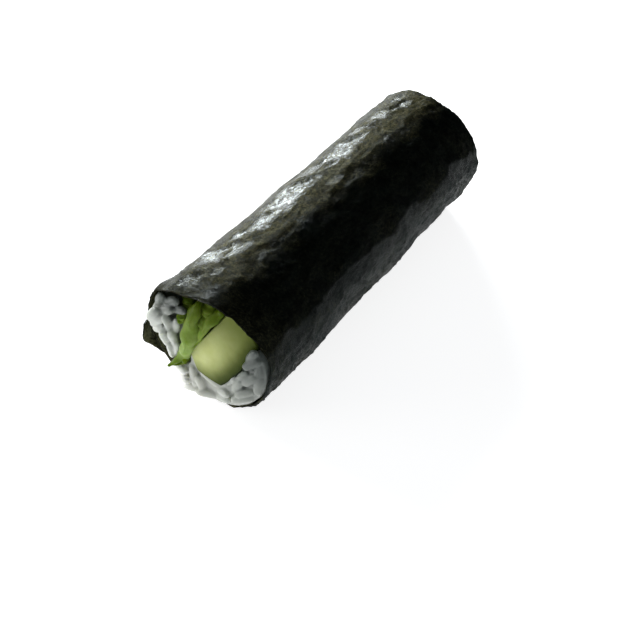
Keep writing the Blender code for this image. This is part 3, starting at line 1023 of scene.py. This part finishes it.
def coreSection(x, reach=0.0):
    # the rice under the grains; reach is the share of the end's slant and set-back that it takes
    points = []
    dip, *dipAngles = rice["frontDip"]
    for side in range(rice["sides"]):
        angle = 360 * side / rice["sides"]
        edge = riceEdge(x, angle)
        hollow = frontHollow(angle) * fade(x + halfLength, rice["hollowLength"]) / edge.length
        setBack = (dip * bump(angle, *dipAngles) + rice["frontBack"] if x < 0 else rice["rearBack"]) * mm
        points.append(place(x + (riceReach(*edge) - setBack) * reach, *(edge * (1 - hollow))))
    return points


def cut(thing, other):
    modify(thing, "BOOLEAN", operation="DIFFERENCE", solver="EXACT", object=other)
    applyModifiers(thing)
    bpy.data.objects.remove(other)


def gapToOutline(point, outline):
    # from a place to a closed outline, negative inside it
    nearest, inside = 1.0, False
    for index, end in enumerate(outline):
        start = outline[index - 1]
        foot, share = intersect_point_line(point, start, end)
        foot = start.lerp(end, min(max(share, 0.0), 1.0))
        nearest = min(nearest, (point - foot.to_2d()).length)
        if (start.y > point.y) != (end.y > point.y):
            crossing = start.x + (end.x - start.x) * (point.y - start.y) / (end.y - start.y)
            inside ^= point.x < crossing
    return -nearest if inside else nearest


def riceMaterial():
    made, bench, surface = newMaterial("rice")
    spot = bench.objectPlace()
    cloud = bench.ramp(bench.noise(spot, 380, 2), 0.35, 0.65)
    colour = bench.mix(cloud, (0.46, 0.48, 0.44), (0.57, 0.59, 0.55))
    # painted shade under the sheet's rim and on the right side, and painted light at the lower left
    _, y, z = bench.split(spot)
    across, rise = y * (-1 / mm), z / mm - rice["axisRise"]
    colour = bench.mix(bench.ramp(rise, 4, 11), colour, (0.12, 0.132, 0.122))
    white = bench.mix(bench.ramp(across, -3, -8), (0.52, 0.53, 0.48), (0.95, 0.95, 0.92))
    colour = bench.mix(bench.ramp(rise, -4, -11) * bench.ramp(across, 6, 0), colour, white)
    # painted shade on the right side, most toward the top
    right = bench.ramp(across, 5, 12) * bench.ramp(rise, -18, 2)
    colour = bench.mix(right, colour, (0.12, 0.135, 0.125))
    bench.feed(surface, {
        "Base Color": colour, "Roughness": 0.3, "IOR": 1.28,
        "Normal": bench.raised(0.2, 0.1 * mm, bench.noise(spot, 1200, 2)),
        "Subsurface Weight": 1.0, "Subsurface Radius": (1.0, 1.0, 0.92), "Subsurface Scale": 2.4 * mm})
    return made


def grainMesh(material):
    # a plump grain along Z: blunt ends, one a little narrower, and slightly bowed
    shape = bmesh.new()
    bmesh.ops.create_uvsphere(shape, u_segments=12, v_segments=9, radius=0.5)
    for corner in shape.verts:
        x, y, z = corner.co
        blunt = math.sqrt((1 - (2 * z) ** 4) / max(1 - 4 * z * z, 0.01))
        waist = (1 - 0.12 * max(0.0, z * 2) ** 2) * blunt
        corner.co = Vector((x * waist + 0.06 * (1 - 4 * z * z) - 0.03, y * waist, z))
    mesh = newMesh("grain", shape)
    mesh.materials.append(material)
    return mesh


def grainHalf(heading, lean):
    # from a grain's middle to the middle of its round end
    straight = grain["Length"] - grain["Width"]
    return polar(0.5 * straight * math.cos(math.radians(lean)), heading)


def grainFits(point, facing, fillings):
    angle = math.degrees(math.atan2(point.y, point.x)) % 360
    limit = riceEdge(facing * halfLength, angle).length - 0.5 * grain["Width"]
    if facing < 0:
        limit -= frontHollow(angle)
    if point.length > limit:
        return False
    return min(gapToOutline(point, outline) for outline in fillings) >= 0.12 * grain["Width"]


def grainSpots(draw, facing, fillings, laid, depth, spacing):
    # random grains, mostly turned round the roll, wherever one fits between those already laid
    spots = []
    for _ in range(rice["tries"]):
        toward = draw.uniform(0, 360)
        centre = polar(roll["frontRadius"] * math.sqrt(draw.random()), toward)
        heading = toward + 90 + draw.uniform(-70, 70)
        lean = draw.uniform(-28, 28)
        half = grainHalf(heading, lean)
        ends = (centre - half, centre, centre + half)
        if any((other - point).length <= spacing for other in laid for point in ends):
            continue
        if all(grainFits(point, facing, fillings) for point in ends):
            laid += ends
            out = depth + riceReach(*centre) + draw.uniform(-0.3, 0.3) * mm
            spots.append((centre, heading, lean, out))
    return spots


def heldInside(centre, half):
    # a grain that would reach through the sheet on the right is moved in
    for end in (centre + half, centre - half):
        angle = math.degrees(math.atan2(end.y, end.x))
        limit = riceEdge(-halfLength, angle % 360).length - 0.42 * grain["Width"]
        if -100 < angle < 80 and end.length > limit:
            centre = centre - end.normalized() * (end.length - limit)
    return centre


def grainTree(material):
    # points carry each grain's turn and size, and every point gets one grain
    tree, bench, wires = newTree("layGrains", grain)
    pattern = bench.add("GeometryNodeObjectInfo", None, {"Object": bpy.data.objects["grain"]}, "Geometry")
    turn = bench.add("GeometryNodeInputNamedAttribute", {"data_type": "FLOAT_VECTOR"}, {"Name": "grainTurn"})
    limits = {2: 0.9, 3: 1.08, "Seed": wires["Seed"]}
    size = bench.add("FunctionNodeRandomValue", {"data_type": "FLOAT"}, limits, 1)
    full = bench.vector(wires["Width"], wires["Height"], wires["Length"])
    scale = bench.add("ShaderNodeVectorMath", {"operation": "SCALE"}, {0: full, "Scale": size})
    laid = bench.add("GeometryNodeInstanceOnPoints", None, {
        "Points": wires["Geometry"], "Instance": pattern,
        "Rotation": bench.add("FunctionNodeEulerToRotation", None, {0: turn}), "Scale": scale})
    endTree(bench, laid, material)
    return tree


def layGrains(seats, facing, tree):
    # a point for each grain, with its turn, made into grains by the tree
    points, turns = [], []
    for centre, heading, lean, out in seats:
        points.append(place(facing * (halfLength + out), *centre))
        flat = Vector((0, -math.cos(math.radians(heading)), math.sin(math.radians(heading))))
        along = flat * math.cos(math.radians(lean)) + Vector((math.sin(math.radians(lean)), 0, 0))
        turns.append(along.to_track_quat("Z", "X").to_euler())
    mesh = bpy.data.meshes.new("riceGrains")
    mesh.from_pydata(points, [], [])
    turnData = mesh.attributes.new("grainTurn", "FLOAT_VECTOR", "POINT")
    for index, turn in enumerate(turns):
        turnData.data[index].vector = turn
    grains = newObject("riceGrains", mesh)
    runTree(grains, tree, grain)
    applyModifiers(grains)
    return grains


def joinMeshes(name, things):
    shape = bmesh.new()
    for thing in things:
        shape.from_mesh(thing.data)
        bpy.data.objects.remove(thing)
    return newObject(name, newMesh(name, shape))


def dropCrumbs(thing, fewest):
    # loose bits that the voxels leave between the grains
    shape = bmesh.new()
    shape.from_mesh(thing.data)
    seen, crumbs = set(), []
    for first in shape.verts:
        if first in seen:
            continue
        seen.add(first)
        island, waiting = [], [first]
        while waiting:
            corner = waiting.pop()
            island.append(corner)
            for edge in corner.link_edges:
                other = edge.other_vert(corner)
                if other not in seen:
                    seen.add(other)
                    waiting.append(other)
        if len(island) < fewest:
            crumbs += island
    bmesh.ops.delete(shape, geom=crumbs, context="VERTS")
    shape.to_mesh(thing.data)
    shape.free()


def buildCore(name, places, pocket, stickHole):
    # places along the roll, with how much of the end's slant each one takes
    core = loftObject(name, lambda row: coreSection(*row), places)
    cut(core, loftObject("pocket", lambda share: cucumberSection(pocket, share, 6 * mm), (0, 0.5, 1)))
    cut(core, loftObject("stickGap", lambda share: cucumberSection(stickHole, share, 6 * mm), (0, 0.5, 1)))
    return core


def riceSeats(fillings):
    # grains listed one by one at the front, then random ones in layers, for each end
    draw = random.Random(grain["Seed"])
    seats, laid = {-1: [], 1: []}, {-1: [], 1: []}
    for across, rise, heading, lean, out in frontGrains:
        half = grainHalf(heading, lean)
        centre = heldInside(Vector((across, rise)) * mm, half)
        seats[-1].append((centre, heading, lean, out * mm + riceReach(*centre)))
        laid[-1] += [centre - half, centre, centre + half]
    for facing in (-1, 1):
        for depth, spacing in rice["layers"]:
            seats[facing] += grainSpots(draw, facing, fillings, laid[facing], depth * mm, spacing * mm)
    return seats


def buildEnd(facing, seats, tree, pocket, stickHole):
    # a slab with the grains on it, fused into one closed body
    steps = 5
    depths = [facing * (halfLength - rice["endDepth"] * step / steps) for step in range(steps + 1)]
    places = [(x, facing * (1 - step / steps)) for step, x in enumerate(depths)]
    slab = buildCore("riceEnd", places, pocket, stickHole)
    joined = joinMeshes("riceEnd", (slab, layGrains(seats, facing, tree)))
    modify(joined, "REMESH", mode="VOXEL", voxel_size=rice["fineness"])
    modify(joined, "SMOOTH", iterations=2)
    applyModifiers(joined)
    dropCrumbs(joined, rice["fewestCorners"])
    return joined


def buildRice():
    material = riceMaterial()
    pocket, outline = pocketOutline(), cucumberOutline()
    scrapLine = [smoothPath(leaf["scrap"], step / 10).xy * mm for step in range(11)]
    scrapLine += [point + Vector((0.3 * mm, 0)) for point in reversed(scrapLine)]
    stickHole = [point * 1.03 for point in outline]
    seats = riceSeats((pocket, outline, scrapLine))
    inner = halfLength - 0.8 * rice["endDepth"]
    middle = [(inner * (step / 10 - 1), 0.0) for step in range(21)]
    parts = [buildCore("riceCore", middle, pocket, stickHole)]
    pattern = newObject("grain", grainMesh(material))
    tree = grainTree(material)
    parts += [buildEnd(facing, seats[facing], tree, pocket, stickHole) for facing in (-1, 1)]
    bpy.data.objects.remove(pattern)
    made = joinMeshes("ricePacked", parts)
    made.data.materials.append(material)
    for face in made.data.polygons:
        face.material_index = 0
    smoothShade(made, 50)
    print("rice:", sum(map(len, seats.values())), "grains,", len(made.data.polygons), "faces")
    return made


ricePiece = buildRice()


# Which node each piece stands for, and its finish.
for piece, node, slot in (
    (nori, "nori", "nori"),
    (stick, "cucumber", "cucumber"),
    (leafPiece, "lettuce_leaf", "lettuce"),
    (innerFold, "lettuce_leaf", "lettuce"),
    (scrapPiece, "lettuce_scrap", "lettuce"),
    (ricePiece, "rice", "rice"),
):
    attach(piece, "root")
    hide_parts(node)


# Table, lights and camera.
studio = {
    "floorSize": 6.0,
    "floorColour": (0.55, 0.55, 0.55),
    "floorGlow": 0.85,
    "air": (0.30, 0.32, 0.34),
    "airStrength": 0.7,
    "lightTarget": (0, 0, 0.02),
    # place and size in metres, power in watts and colour
    "lights": {
        "window": ((0.56, 0.70, 0.27), (0.52, 0.22), 16.0, (0.93, 0.98, 1.0)),
        "side": ((0.08, 0.80, 0.36), (0.4, 0.3), 6.0, (1.0, 0.99, 0.95)),
        "bounce": ((-0.45, 0.52, 0.10), (0.4, 0.3), 2.0, (1.0, 1.0, 0.98)),
    },
    "cameraPlace": (-193.57 * mm, -133.75 * mm, 220.09 * mm),
    "cameraTurn": (45.083, 0.254, -55.381),
    "lens": 62.83,
}


def buildStudio():
    made, bench, surface = newMaterial("tableTop")
    floorColour = studio["floorColour"]
    dimmer = [channel * 0.985 for channel in floorColour]
    tone = bench.mix(bench.noise(bench.objectPlace(), 3, 2), floorColour, dimmer)
    bench.feed(surface, {
        "Base Color": tone, "Roughness": 0.85,
        "Emission Color": (1, 1, 1, 1), "Emission Strength": studio["floorGlow"]})
    mesh = bpy.data.meshes.new("tableTop")
    half = studio["floorSize"] / 2
    corners = [(-half, -half, 0), (half, -half, 0), (half, half, 0), (-half, half, 0)]
    mesh.from_pydata(corners, [], [(0, 1, 2, 3)])
    newObject("tableTop", mesh, [made])
    world = bpy.data.worlds.new("air")
    bpy.context.scene.world = world
    world.use_nodes = True
    background = world.node_tree.nodes["Background"]
    background.inputs["Color"].default_value = (*studio["air"], 1.0)
    background.inputs["Strength"].default_value = studio["airStrength"]
    for name, (spot, size, power, colour) in studio["lights"].items():
        lamp = bpy.data.lights.new(name, "AREA")
        lamp.shape = "RECTANGLE"
        lamp.size, lamp.size_y = size
        lamp.energy = power
        lamp.color = colour
        shown = newObject(name, lamp)
        shown.location = spot
        toRoll = Vector(studio["lightTarget"]) - Vector(spot)
        shown.rotation_euler = toRoll.to_track_quat("-Z", "Y").to_euler()
    lens = bpy.data.cameras.new("camera")
    lens.lens = studio["lens"]
    lens.sensor_width = 36
    lens.clip_start = 0.01
    eye = newObject("camera", lens)
    eye.location = studio["cameraPlace"]
    eye.rotation_euler = Euler([math.radians(angle) for angle in studio["cameraTurn"]])
    bpy.context.scene.camera = eye
    bpy.context.scene.view_settings.view_transform = "Standard"


buildStudio()
print("studio ready")

bpy.context.view_layer.update()
